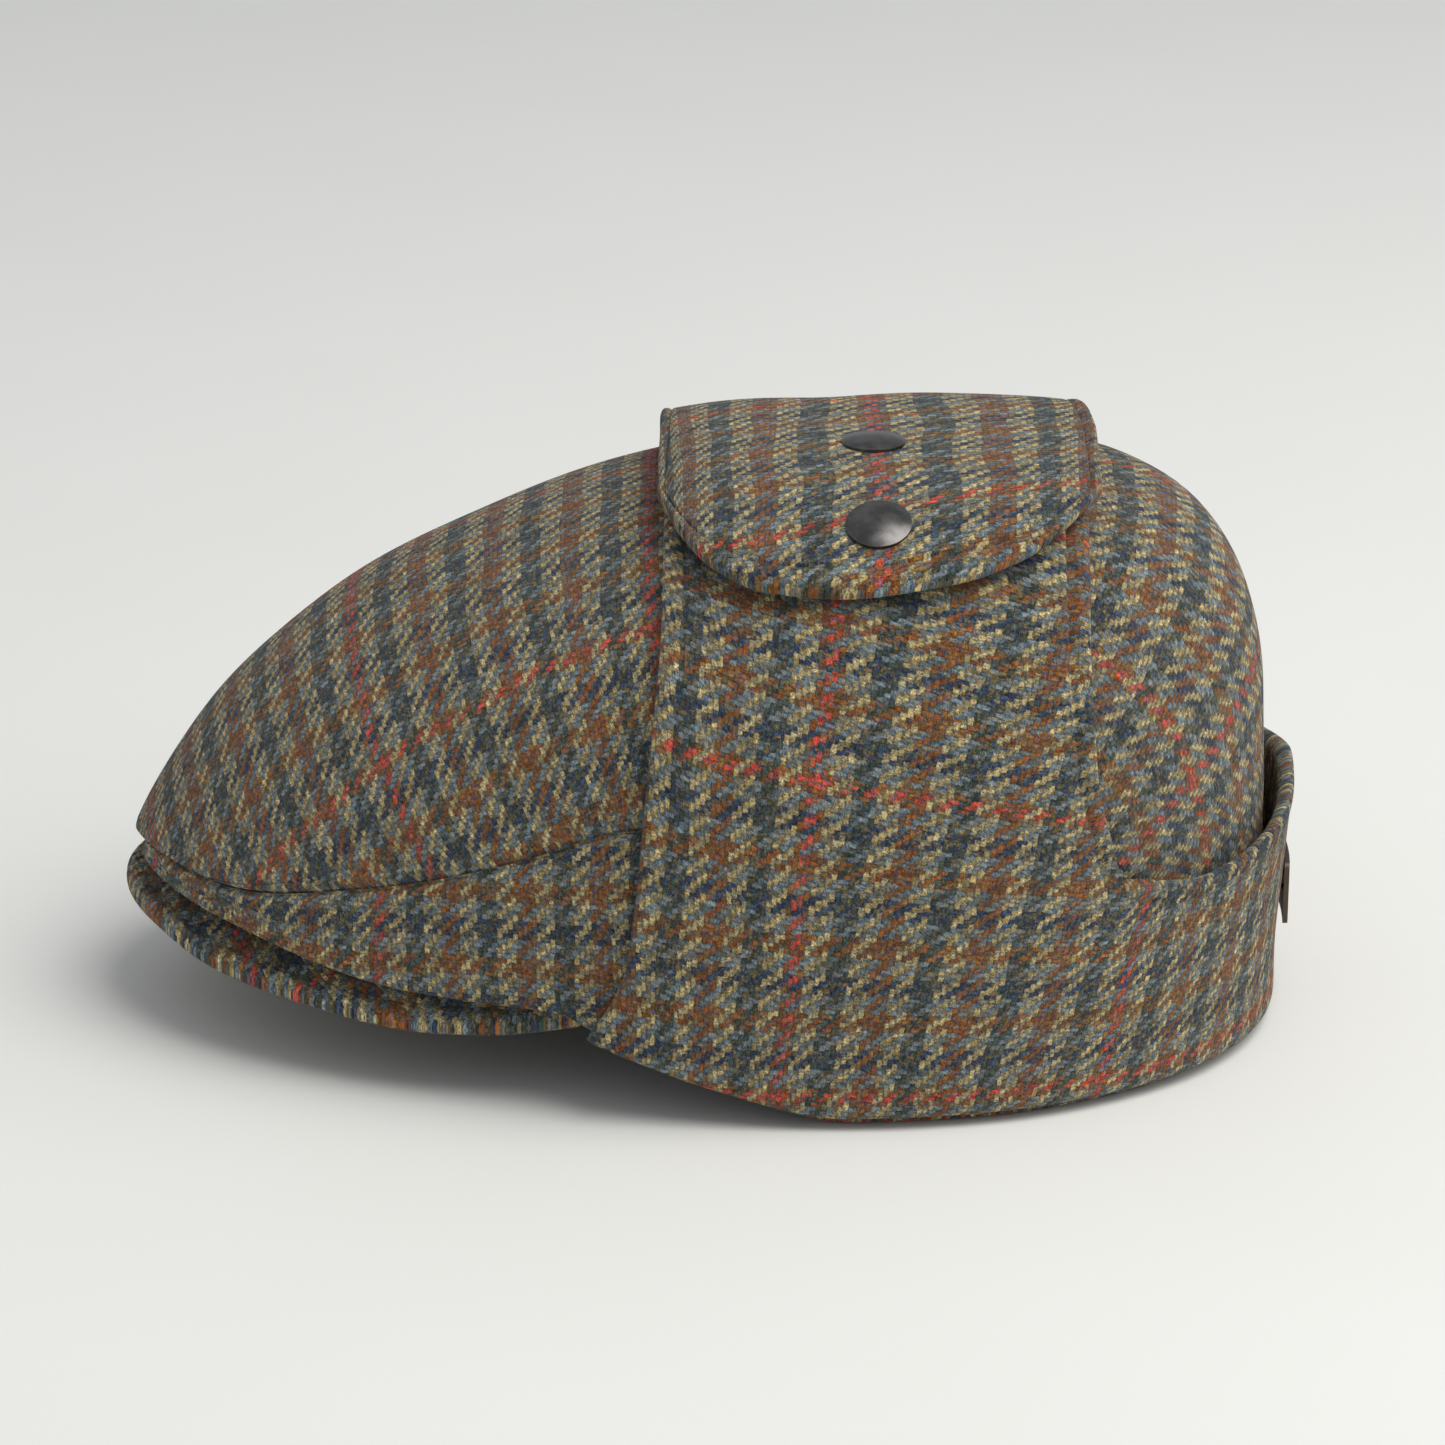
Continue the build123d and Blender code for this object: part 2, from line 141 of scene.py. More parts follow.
class Dome:
    """The crown's rounded form, and the layers outside and inside it."""

    def __init__(self, front, front_round, height):
        self.front, self.front_round, self.height = front, front_round, height

    def plan(self, angle):
        along, across = np.cos(angle), np.abs(np.sin(angle))
        ahead = along > 0
        reach = np.where(ahead, self.front, CROWN_REAR)
        power = np.where(ahead, 2.0, PLAN_REAR)
        return ((np.abs(along) / reach)**power + (across / CROWN_SIDE)**power)**(-1 / power)

    def roundness(self, angle):
        end = np.where(np.cos(angle) > 0, self.front_round, ROUND_REAR)
        return ROUND_SIDE + (end - ROUND_SIDE) * np.cos(angle)**2

    def ring(self, angle, height):
        turn = np.radians(angle)
        power = self.roundness(turn)
        share = np.maximum(0.0, 1 - (np.maximum(height, 0) / self.height)**power)
        reach = self.plan(turn) * share**(1 / power)
        return np.stack([reach * np.sin(turn), HEAD_Y - reach * np.cos(turn), height + 0 * reach], -1)

    def outside(self, point, offset):
        x, y, z = point[..., 0], point[..., 1] - HEAD_Y, point[..., 2]
        angle = np.arctan2(x, -y)
        power = self.roundness(angle)
        foot = np.hypot(x, y) / (self.plan(angle) + offset)
        return foot**power + (np.maximum(z, 0) / (self.height + offset))**power - 1, power

    def lift(self, point, offset):
        over, power = self.outside(point, offset)
        scale = (1 + over)**(-1 / power)
        middle = np.array([0, HEAD_Y, 0])
        return middle + (point - middle) * scale[..., None]

    def over(self, y, tilt):
        side, up = np.sin(np.radians(tilt)), np.cos(np.radians(tilt))
        y, side, up = np.broadcast_arrays(y, side, up)
        near, far = np.zeros(y.shape), np.full(y.shape, 2 * self.height)
        for _ in range(40):
            middle = (near + far) / 2
            beyond = self.outside(np.stack([middle * side, y, middle * up], -1), 0.0)[0] > 0
            near, far = np.where(beyond, near, middle), np.where(beyond, middle, far)
        return np.stack([near * side, y, near * up], -1)


CROWN = Dome(CROWN_FRONT, ROUND_FRONT, CROWN_HEIGHT)
HEAD = Dome(HEAD_FRONT, ROUND_HEAD, CROWN_HEIGHT - LINING_SLACK)


# Cloth patches: closed slabs with rounded edges and a stitched groove beside them

EDGE_STEPS = np.array([0, 0.12, 0.45, 1.0, 1.7, 2.6, 3.6, 4.4, 4.9, 5.3, 5.6, 5.9, 6.3, 6.9, 8.0])
THIN_EDGE_STEPS = np.array([0, 0.1, 0.3, 0.6, 1.0, 1.7, 2.8, 4.2])
PLAIN = np.array([0.0])


def travelled(points, axis):
    """Distance along an array of points, from its start."""
    steps = np.linalg.norm(np.diff(points, axis=axis), axis=-1)
    start = np.zeros_like(np.take(steps, [0], axis=axis))
    return np.concatenate([start, np.cumsum(steps, axis=axis)], axis=axis)


def stations(length, edge_steps, count):
    """Distances along a line: close together at its ends, and even between them."""
    first, last = edge_steps
    inner = np.linspace(first[-1], length - last[-1], count + 2)[1:-1]
    return np.concatenate([first, inner, length - last[::-1]])


class Patch:
    """A grid over place(s, t), with its distances from each edge and along the cloth."""

    def __init__(self, place, step, edges, anchor=None):
        fine = np.linspace(0, 1, 81)
        left, right, foot, top = edges
        middle_row = travelled(place(fine, np.full(81, 0.5)), 0)
        middle_column = travelled(place(np.full(81, 0.5), fine), 0)
        across = max(2, round(middle_row[-1] / step))
        along = max(2, round(middle_column[-1] / step))
        s_middle = np.interp(stations(middle_row[-1], (left, right), across), middle_row, fine)
        t_middle = np.interp(stations(middle_column[-1], (foot, top), along), middle_column, fine)
        rows = travelled(place(*np.meshgrid(fine, t_middle, indexing="ij")), 0)
        columns = travelled(place(*np.meshgrid(s_middle, fine, indexing="ij")), 1)
        s = np.zeros((len(s_middle), len(t_middle)))
        t, self.from_left, self.from_foot = s.copy(), s.copy(), s.copy()
        for j in range(len(t_middle)):
            self.from_left[:, j] = stations(rows[-1, j], (left, right), across)
            s[:, j] = np.interp(self.from_left[:, j], rows[:, j], fine)
        for i in range(len(s_middle)):
            self.from_foot[i] = stations(columns[i, -1], (foot, top), along)
            t[i] = np.interp(self.from_foot[i], columns[i], fine)
        self.s, self.t = s, t
        self.points = place(s, t)
        self.from_right = self.from_left[-1] - self.from_left
        self.from_top = self.from_foot[:, -1:] - self.from_foot
        self.u, self.v = self.from_left.copy(), self.from_foot + self.points[:, :1, 2]
        if anchor is not None:
            axis, value = anchor
            for j in range(len(t_middle)):
                self.u[:, j] -= np.interp(value, self.points[:, j, axis], self.from_left[:, j])

    def edge_distance(self, **closed):
        """Distance from the nearest free edge. A closed edge, or the closed share of one, isn't counted."""
        far = 60.0
        sides = ("left", "right", "foot", "top")
        found = [getattr(self, "from_" + side) + far * closed.get(side, 0.0) for side in sides]
        return np.minimum.reduce(found)


def rounding(distance, radius):
    """Share of the full thickness at a distance from a rounded edge."""
    return np.sqrt(1 - (1 - np.clip(distance / radius, 0, 1))**2) * 0.94 + 0.06


def hem(distance, bulge=0.35, groove=0.55, stitched=5.6):
    """Height of a turned hem: a soft roll beside the edge, and a groove where it is stitched down."""
    roll = bulge * np.exp(-((distance - 2.8) / 1.5)**2)
    return roll - groove * np.exp(-((distance - stitched) / 0.62)**2)


def ripple(point, height=0.42):
    """Slow unevenness of soft cloth, the same for every layer at one place."""
    x, y, z = (point[..., k] for k in range(3))
    slow = np.sin(0.071 * y + 0.045 * z + 0.6) * np.sin(0.083 * z - 0.039 * x + 1.1)
    quick = np.sin(0.16 * y - 0.11 * z + 0.08 * x) * np.sin(0.13 * x + 0.12 * z + 0.7)
    return height * (0.7 * slow + 0.3 * quick)


def flattened(points, guide):
    """The patch laid flat with little stretch, then turned and placed to follow the guide's coordinates."""
    n, m = points.shape[:2]
    index = np.arange(n * m).reshape(n, m)
    quads = np.stack([index[:-1, :-1], index[1:, :-1], index[1:, 1:], index[:-1, 1:]], -1).reshape(-1, 4)
    mesh = bpy.data.meshes.new("pattern")
    mesh.from_pydata(points.reshape(-1, 3).tolist(), [], quads.tolist())
    mesh.uv_layers.new(name="flat")
    obj = bpy.data.objects.new("pattern", mesh)
    bpy.context.scene.collection.objects.link(obj)
    bpy.ops.object.select_all(action="DESELECT")
    bpy.context.view_layer.objects.active = obj
    obj.select_set(True)
    bpy.ops.object.mode_set(mode="EDIT")
    bpy.ops.mesh.select_all(action="SELECT")
    bpy.ops.uv.unwrap(method="MINIMUM_STRETCH", margin=0)
    bpy.ops.object.mode_set(mode="OBJECT")
    corners, uv = np.zeros(len(mesh.loops), int), np.zeros(len(mesh.loops) * 2)
    mesh.loops.foreach_get("vertex_index", corners)
    mesh.uv_layers["flat"].data.foreach_get("uv", uv)
    flat = np.zeros(n * m, complex)
    flat[corners] = uv[0::2] + 1j * uv[1::2]
    flat = flat.reshape(n, m)
    bpy.data.objects.remove(obj)
    wanted = guide[..., 0] + 1j * guide[..., 1]
    middle = np.mean(wanted)
    wanted = wanted - middle
    fits = []
    for way in (flat, np.conj(flat)):
        way = way - np.mean(way)
        sides = np.abs(np.diff(way, axis=0)).sum() / travelled(points, 0)[-1].sum()
        turn = np.vdot(way, wanted)
        way = way / sides * turn / abs(turn)
        fits.append((np.abs(way - wanted).sum(), way))
    best = min(fits, key=lambda fit: fit[0])[1] + middle
    return np.stack([best.real, best.imag], -1)


def solid_mesh(name, outer, inner, uv):
    """A closed mesh between two grids of points in the pattern's millimetres."""
    n, m = outer.shape[:2]
    index = np.arange(n * m).reshape(n, m)
    quads = np.stack([index[:-1, :-1], index[1:, :-1], index[1:, 1:], index[:-1, 1:]], -1).reshape(-1, 4)
    rim = np.concatenate([index[:, 0], index[-1, 1:], index[-2::-1, -1], index[0, -2:0:-1]])
    following = np.roll(rim, -1)
    walls = np.stack([rim, rim + n * m, following + n * m, following], -1)
    faces = np.concatenate([quads, quads[:, ::-1] + n * m, walls])
    corner = outer[n // 2, m // 2]
    facing = np.cross(outer[n // 2 + 1, m // 2] - corner, outer[n // 2, m // 2 + 1] - corner)
    if np.dot(facing, corner - inner[n // 2, m // 2]) < 0:
        faces = faces[:, ::-1]
    points = (np.concatenate([outer.reshape(-1, 3), inner.reshape(-1, 3)]) + [0, SHIFT, 0]) * MM
    mesh = bpy.data.meshes.new(name)
    mesh.from_pydata(points.tolist(), [], faces.tolist())
    layer = mesh.uv_layers.new(name="weave")
    corners = np.zeros(len(mesh.loops), int)
    mesh.loops.foreach_get("vertex_index", corners)
    layer.data.foreach_set("uv", (np.tile(uv.reshape(-1, 2), (2, 1))[corners] * MM).ravel())
    mesh.shade_smooth()
    mesh.set_sharp_from_angle(angle=math.radians(62))
    obj = bpy.data.objects.new(name, mesh)
    bpy.context.scene.collection.objects.link(obj)
    return obj


def dome_slab(name, patch, outer, inner, distance, relief=0.0, dome=CROWN, uv=None, rows=slice(None)):
    """A slab over the dome between two layers, rounded at its free edges."""
    half = (outer - inner) / 2
    share = rounding(distance, half)
    middle = (outer + inner) / 2 + ripple(patch.points)
    outside = dome.lift(patch.points, middle + half * share + relief)
    inside = dome.lift(patch.points, middle - half * share)
    if uv is None:
        uv = np.stack([patch.u, patch.v], -1)
    return solid_mesh(name, outside[:, rows], inside[:, rows], uv[:, rows])


# Crown cloth and lining

def side_place(lift=0.0, dome=CROWN):
    def place(s, t):
        """s runs back along the side, and t up from the rim to the seam."""
        last = mix(SEAM[-1][0], SEAM_CORNER, t) - LAYER_GAP - 0.5 * lift
        angle = mix(SEAM[0][0], last, s)
        low, high = between(RIM, angle) + lift, between(SEAM, np.minimum(angle, SEAM_CORNER))
        height = mix(low, high - LAYER_GAP, t)
        # The rear edge follows the seam down instead of running straight to its corner.
        straight = mix(lift, between(SEAM, SEAM_CORNER), t)
        height = height + s**6 * (between(SEAM, last) - straight) * (1 - t**12)
        return dome.ring(angle, np.maximum(height, lift + FOOT))
    return place


def top_place(lift=0.0, dome=CROWN):
    lip_depth = float(between(SEAM, SEAM[0][0]) - between(RIM, SEAM[0][0]))

    def place(s, t):
        """s runs across from one seam to the other, and t from the front over the top and down the back."""
        angle = mix(SEAM[0][0], SEAM[-1][0], t)
        height = np.maximum(between(SEAM, angle) + LAYER_GAP * (1 - t), lift + FOOT)
        foot = dome.ring(angle, height)
        lip = lip_depth * 4 * s * (1 - s) * (1 - t)**8
        point = np.stack([mix(-1, 1, s) * foot[..., 0], foot[..., 1], foot[..., 2] - lip], -1)
        return dome.lift(point, 0.0)
    return place


def mirrored(obj, name):
    """The same piece for the other side, with its own mesh. The weave still runs the same way round."""
    mesh = obj.data.copy()
    mesh.name = name
    twin = bpy.data.objects.new(name, mesh)
    bpy.context.scene.collection.objects.link(twin)
    points = np.zeros(len(mesh.vertices) * 3)
    mesh.vertices.foreach_get("co", points)
    points[0::3] *= -1
    mesh.vertices.foreach_set("co", points)
    mesh.flip_normals()
    uv = np.zeros(len(mesh.loops) * 2)
    mesh.uv_layers["weave"].data.foreach_get("uv", uv)
    uv[0::2] *= -1
    mesh.uv_layers["weave"].data.foreach_set("uv", uv)
    return twin



def seam_sunk(distance):
    """Cloth turned in at a seam, with a line of stitches a few millimetres beside it."""
    return -1.3 * np.exp(-(distance / 1.7)**2) - 0.35 * np.exp(-((distance - 5.3) / 0.6)**2)


def crown_cloth():
    edges = (EDGE_STEPS,) * 4
    top = Patch(top_place(), 3.2, edges, anchor=(0, 0.0))
    distance = top.edge_distance()
    seam = top.edge_distance(foot=1, top=1)
    uv = flattened(top.points, np.stack([top.from_foot - TOP_CUT, -top.u], -1))
    top_panel = dome_slab("top_panel_cloth", top, 0.0, -CLOTH, distance, relief=seam_sunk(seam), uv=uv)
    side = Patch(side_place(), 3.2, edges)
    seam = side.edge_distance(left=1, right=1, foot=1)
    turn = np.arctan2(side.points[..., 0], HEAD_Y - side.points[..., 1])
    uv = flattened(side.points, np.stack([turn * CROWN_SIDE, side.points[..., 2] * 1.2], -1))
    distance = side.edge_distance()
    left = dome_slab("left_side_cloth", side, 0.0, -CLOTH, distance, relief=seam_sunk(seam), uv=uv)
    return top_panel, left, mirrored(left, "right_side_cloth")


def crown_lining():
    face = -CLOTH - LAYER_GAP
    edges = (THIN_EDGE_STEPS,) * 4
    top = Patch(top_place(LINING_LIFT, HEAD), 4.0, edges, anchor=(0, 0.0))
    top_lining = dome_slab("top_lining_cloth", top, face, face - LINING, top.edge_distance(), dome=HEAD)
    side = Patch(side_place(LINING_LIFT, HEAD), 4.0, edges)
    left = dome_slab("left_lining_cloth", side, face, face - LINING, side.edge_distance(), dome=HEAD)
    return top_lining, left, mirrored(left, "right_lining_cloth")


def head_band():
    face = -CLOTH - LINING - 2 * LAYER_GAP

    def place(s, t):
        angle = mix(BAND_JOINT - 180, 180 - BAND_JOINT, s)
        return HEAD.ring(angle, between(BAND_FOOT, np.abs(angle)) + t * BAND_WIDTH)

    def label_place(s, t):
        return HEAD.ring(mix(*LABEL_TURN, s), mix(*LABEL_HEIGHT, t))

    edges = (THIN_EDGE_STEPS,) * 4
    band = Patch(place, 3.5, edges)
    sweatband = dome_slab("sweatband_cloth", band, face, face - SWEATBAND, band.edge_distance(), dome=HEAD)
    behind = face - SWEATBAND - LAYER_GAP
    patch = Patch(label_place, 2.0, edges)
    label = dome_slab("size_label_cloth", patch, behind, behind - LABEL, patch.edge_distance(), dome=HEAD)
    return sweatband, label


# Peak

def peak_cloth():
    half_angle = PEAK_ROOT[-1][0]

    def place(s, t):
        """s runs round the peak, and t out from the root to the edge."""
        angle = mix(-half_angle, half_angle, s)
        near = HEAD.lift(HEAD.ring(angle, between(PEAK_ROOT, np.abs(angle))), -1.0)
        far = CROWN.ring(angle, between(PEAK_EDGE, np.abs(angle)))
        far = CROWN.lift(far, np.full(far.shape[:-1], -CLOTH - BODY_GAP))
        return mix(near, far, t[..., None])

    patch = Patch(place, 3.0, (EDGE_STEPS, EDGE_STEPS, PLAIN, EDGE_STEPS), anchor=(0, 0.0))
    distance = patch.edge_distance(foot=1)
    share = rounding(distance, PEAK / 2)
    piping = 0.25 * np.exp(-((distance - 1.6) / 1.2)**2) - 0.35 * np.exp(-((distance - 4.6) / 0.6)**2)
    up = np.array([0, 0, 1.0])
    middle = patch.points + up * PEAK / 2
    above = middle + up * (PEAK / 2 * share + piping)[..., None]
    below = middle - up * (PEAK / 2 * share + 0.4 * piping)[..., None]
    uv = flattened(patch.points, np.stack([patch.points[..., 1], -patch.points[..., 0]], -1))
    return solid_mesh("peak_cover", above, below, uv)


# Ear flaps with their straps, and the neck band

def skewed(u, v):
    """The cut flaps aren't square to the weave: its lines lean back going up, and drop towards the back."""
    lean = np.interp(u, [-60, -15, 58, 150], [0.05, 0.10, 0.30, 0.0])
    drop = np.interp(u, [-60, 58, 150], [-0.15, 0.19, 0.0])
    low = np.minimum(v, 120)
    return np.stack([u - lean * low, v + drop * low], -1)


def climb(tilt):
    return ease(tilt, *RAMP)


def flap_patch(tip):
    """A flap from its fold up over the crown. tip(s) is the tilt where it ends, negative past the middle."""
    def place(s, t):
        foot_y = mix(FLAP_BOTTOM[0][0], FLAP_BOTTOM[-1][0], s)
        tilt = mix(between(FLAP_BOTTOM, foot_y), tip(s), t)
        y = mix(between(FLAP_FRONT, np.abs(tilt)), between(FLAP_REAR, np.abs(tilt)), s)
        return CROWN.over(y, tilt)
    return Patch(place, 2.6, (EDGE_STEPS,) * 4, anchor=(1, 36.0))


def flap_pieces(patch, side):
    """The folding foot of a flap and the rest of it, which share the row of points where they meet."""
    height = patch.points[..., 2]
    slit = 1 - ease(height, *SLIT_END)
    distance = patch.edge_distance(right=slit)
    tilt = np.degrees(np.arctan2(patch.points[..., 0], height))
    step_up = 0.0 if side == "left" else climb(-tilt) * (OVER_LAYER - UNDER_LAYER)
    outer = UNDER_LAYER + FLAP + step_up
    free = patch.edge_distance(right=slit, foot=1)
    uv = skewed(patch.u, patch.v) + (0 if side == "left" else RIGHT_CUT)
    cut = int(np.argmax(height.min(0) > CUT_HEIGHT))
    made = []
    for name, rows in ((side + "_flap_foot", slice(0, cut + 1)), (side + "_flap", slice(cut, None))):
        piece = dome_slab(name, patch, outer, outer - FLAP, distance, relief=hem(free), uv=uv, rows=rows)
        made.append(piece)
    return made


def left_flap():
    return flap_pieces(flap_patch(lambda s: UNDER_STRAP_END + 0 * s), "left")


def right_flap():
    """Made on the left with its tongue over the middle, and then mirrored."""
    def tip(s):
        return -between(TONGUE_TIP, mix(TONGUE_TIP[0][0], TONGUE_TIP[-1][0], s))

    made = []
    for piece in flap_pieces(flap_patch(tip), "right"):
        name = piece.name
        piece.name = "pattern"
        made.append(mirrored(piece, name))
        bpy.data.objects.remove(piece)
    return made


def neck_band():
    lowest, highest = FOLD_HEIGHT, NECK_TOP[0][1]
    heights = np.linspace(lowest, highest, 12)
    tilts = np.degrees(np.arctan2(CROWN_SIDE * 0.8, heights))
    ends = CROWN.over(between(FLAP_REAR, tilts) + LAYER_GAP, tilts)
    starts = np.degrees(np.arctan2(ends[:, 0], HEAD_Y - ends[:, 1]))

    def place(s, t):
        first = np.interp(mix(lowest, highest, t), heights, starts)
        angle = mix(first, 360 - first, s)
        from_front = np.minimum(angle, 360 - angle)
        return CROWN.ring(angle, mix(FOLD_HEIGHT, between(NECK_TOP, from_front), t))

    patch = Patch(place, 2.6, (PLAIN, PLAIN, EDGE_STEPS, EDGE_STEPS))
    distance = patch.edge_distance(left=1, right=1)
    free = patch.edge_distance(left=1, right=1, foot=1)
    lean = NECK_LEAN * patch.t**2 * (1 - (2 * patch.s - 1)**2)
    outer = UNDER_LAYER + FLAP + lean
    uv = skewed(patch.u + NECK_CUT, patch.v)
    return dome_slab("neck_band_cover", patch, outer, outer - FLAP, distance, relief=hem(free), uv=uv)


# Materials

class Graph:
    """A material's nodes, with short calls for the ones that repeat."""

    def __init__(self, name):
        self.material = bpy.data.materials.new(name)
        self.material.use_nodes = True
        self.tree = self.material.node_tree
        self.shader = self.tree.nodes["Principled BSDF"]

    def node(self, kind, inputs=(), **settings):
        made = self.tree.nodes.new("ShaderNode" + kind)
        for key, value in settings.items():
            setattr(made, key, value)
        for key, value in dict(inputs).items():
            self.put(made.inputs[key], value)
        return made

    def put(self, socket, value):
        if isinstance(value, bpy.types.NodeSocket):
            self.tree.links.new(value, socket)
        else:
            socket.default_value = value

    def math(self, operation, a, b=0.0, c=0.0):
        return self.node("Math", {0: a, 1: b, 2: c}, operation=operation).outputs[0]

    def vector(self, x, y, z=0.0):
        return self.node("CombineXYZ", {0: x, 1: y, 2: z}).outputs[0]

    def blend(self, share, a, b, kind="MIX"):
        made = self.node("Mix", data_type="RGBA", blend_type=kind)
        for socket, value in zip([made.inputs[0], made.inputs[6], made.inputs[7]], (share, a, b)):
            self.put(socket, value)
        return made.outputs[2]

    def noise(self, where, scale, detail=2.0, rough=0.5):
        return self.node("TexNoise", {"Vector": where, "Scale": scale, "Detail": detail, "Roughness": rough})

    def bands(self, share, colours):
        """One colour after another, each over an equal part of share's range from 0 to 1."""
        made = self.node("ValToRGB", {0: share})
        ramp = made.color_ramp
        ramp.interpolation = "CONSTANT"
        while len(ramp.elements) < len(colours):
            ramp.elements.new(0.5)
        for k, colour in enumerate(colours):
            ramp.elements[k].position = k / len(colours)
            ramp.elements[k].color = (*colour, 1)
        return made.outputs[0]

    def ramp(self, share, low, high):
        return self.node("MapRange", {0: share, 1: low, 2: high}, interpolation_type="SMOOTHSTEP").outputs[0]

    def finish(self, **values):
        for key, value in values.items():
            self.put(self.shader.inputs[key.replace("_", " ")], value)
        return self.material


THREAD = 0.00112             # from one thread to the next
REPEAT = 16                  # threads in one check: four each of two grounds, a ground again, and a stripe
RED_REPEAT = 4 * REPEAT      # every fourth stripe holds two red threads
WARP_FLOAT = 2.3             # length of the part of a warp thread that shows, in threads
CHECK_SHIFT = (19.8, -7.2)   # threads from the check's corner to the cloth's own zero

CREAM, DARK_WARP = (0.58, 0.46, 0.215), (0.058, 0.068, 0.050)
SLATE, DARK_WEFT = (0.205, 0.250, 0.270), (0.036, 0.052, 0.100)
RUST, RED = (0.29, 0.095, 0.022), (0.66, 0.080, 0.045)


def tweed(shift):
    """A woollen 2/2 twill in a four-and-four check, its warp along v and its weft along u."""
    g = Graph("tweed")
    place = g.node("UVMap", uv_map="weave").outputs[0]
    wander = g.noise(place, 45.0, 1.0).outputs["Color"]
    shake = g.noise(place, 420.0, 2.0).outputs["Color"]
    fray = g.noise(place, 2300.0, 2.0, 0.6).outputs["Color"]
    apart, wide, close, finest = (g.node("SeparateXYZ", {0: each}) for each in (place, wander, shake, fray))

    def threads(k):
        moved = g.math("MULTIPLY_ADD", wide.outputs[k], 0.0030, apart.outputs[k])
        moved = g.math("MULTIPLY_ADD", close.outputs[k], 0.00065, moved)
        moved = g.math("MULTIPLY_ADD", finest.outputs[k], 0.00075, moved)
        return g.math("MULTIPLY_ADD", moved, 1 / THREAD, shift[k])

    u, v = threads(0), threads(1)
    swing = g.math("SINE", g.math("MULTIPLY", g.math("SUBTRACT", g.math("SUBTRACT", v, u), 0.5), math.pi / 2))
    v = g.math("MULTIPLY_ADD", swing, 0.12, v)
    warp, weft = g.math("FLOOR", u), g.math("FLOOR", v)
    along_warp = g.math("FLOORED_MODULO", g.math("SUBTRACT", v, warp), 4.0)
    along_weft = g.math("FLOORED_MODULO", g.math("SUBTRACT", g.math("SUBTRACT", u, weft), 1.0), 4.0)
    warp_shows = g.math("LESS_THAN", along_warp, WARP_FLOAT)

    def stitch(across, along, length):
        """Height of a thread that floats over two others, from 0 at its edges to 1."""
        x = g.math("MULTIPLY_ADD", g.math("FRACT", across), 2.0, -1.0)
        y = g.math("MINIMUM", g.math("ABSOLUTE", g.math("MULTIPLY_ADD", along, 2 / length, -1.0)), 1.0)
        x, y = g.math("POWER", g.math("ABSOLUTE", x), 2.4), g.math("POWER", y, 3.0)
        both = g.math("MULTIPLY", g.math("SUBTRACT", 1.0, x), g.math("SUBTRACT", 1.0, y))
        return g.math("POWER", g.math("MAXIMUM", both, 0.0), 0.5)

    warp_height, weft_height = stitch(u, along_warp, WARP_FLOAT), stitch(v, along_weft, 2.0)
    height = g.node("Mix", {0: warp_shows, 2: weft_height, 3: warp_height}).outputs[0]

    def thread_colour(thread, ground, other, stripe):
        part = g.math("DIVIDE", g.math("FLOORED_MODULO", thread, REPEAT), REPEAT)
        plain = g.bands(g.math("ADD", part, 0.02), [stripe, ground, other, ground])
        far = g.math("ABSOLUTE", g.math("SUBTRACT", g.math("FLOORED_MODULO", thread, RED_REPEAT), 1.5))
        return g.blend(g.math("LESS_THAN", far, 0.9), plain, (*RED, 1))

    warp_colour = thread_colour(warp, CREAM, DARK_WARP, RUST)
    weft_colour = thread_colour(weft, SLATE, DARK_WEFT, RUST)
    colour = g.blend(warp_shows, weft_colour, warp_colour)

    # Each stitch, each thread and each fibre has its own tone, and each stitch is also painted darker towards
    # its edges: painted shade where it dips under its neighbours.
    cell = g.vector(warp, weft, warp_shows)
    own = g.node("TexWhiteNoise", {"Vector": cell}, noise_dimensions="3D")
    fibre_place = g.vector(g.math("MULTIPLY_ADD", v, 0.55, u), g.math("MULTIPLY", v, 0.35))
    fibres = g.ramp(g.noise(fibre_place, 5.5, 3.0, 0.65).outputs["Fac"], 0.34, 0.68)
    grain = g.noise(place, 5200.0, 2.0, 0.7).outputs["Fac"]
    patches = g.noise(place, 130.0, 2.0, 0.6)
    flecks = g.noise(place, 900.0, 2.0, 0.6)
    tint = g.node("SeparateXYZ", {0: flecks.outputs["Color"]})
    for k, low, most, fleck in (
        (0, 0.52, 0.70, (0.050, 0.105, 0.200, 1)),
        (1, 0.53, 0.70, (0.300, 0.190, 0.045, 1)),
        (2, 0.54, 0.60, (0.090, 0.165, 0.140, 1)),
    ):
        colour = g.blend(g.math("MULTIPLY", g.ramp(tint.outputs[k], low, low + 0.10), most), colour, fleck)
    shade = g.math("MULTIPLY_ADD", own.outputs["Value"], 0.62, 0.54)
    shade = g.math("MULTIPLY", shade, g.math("MULTIPLY_ADD", fibres, 1.5, 0.38))
    shade = g.math("MULTIPLY", shade, g.math("MULTIPLY_ADD", grain, 1.5, 0.25))
    shade = g.math("MULTIPLY", shade, g.math("MULTIPLY_ADD", patches.outputs["Fac"], 0.8, 0.6))
    # Painted shade: the colour darkens where the stitch's height falls off towards its edges, between the
    # threads.
    shade = g.math("MULTIPLY", shade, g.math("MULTIPLY_ADD", height, 0.70, 0.45))
    colour = g.blend(1.0, colour, g.vector(shade, shade, shade), "MULTIPLY")

    # Loose pale hairs lie over the weave.
    bent = g.noise(place, 300.0, 1.0).outputs["Color"]
    sway = {0: bent, 1: (0.003, 0.003, 0.0), 2: place}
    swayed = g.node("VectorMath", sway, operation="MULTIPLY_ADD").outputs[0]
    stretched = g.node("Mapping", {0: swayed, 3: (1100.0, 260.0, 1.0)}).outputs[0]
    strands = g.noise(stretched, 1.0, 1.0).outputs["Fac"]
    off = g.math("ABSOLUTE", g.math("SUBTRACT", strands, 0.5))
    hairs = g.math("MULTIPLY", g.math("SUBTRACT", 1.0, g.ramp(off, 0.004, 0.016)), 0.30)
    colour = g.blend(hairs, colour, (0.34, 0.32, 0.27, 1))

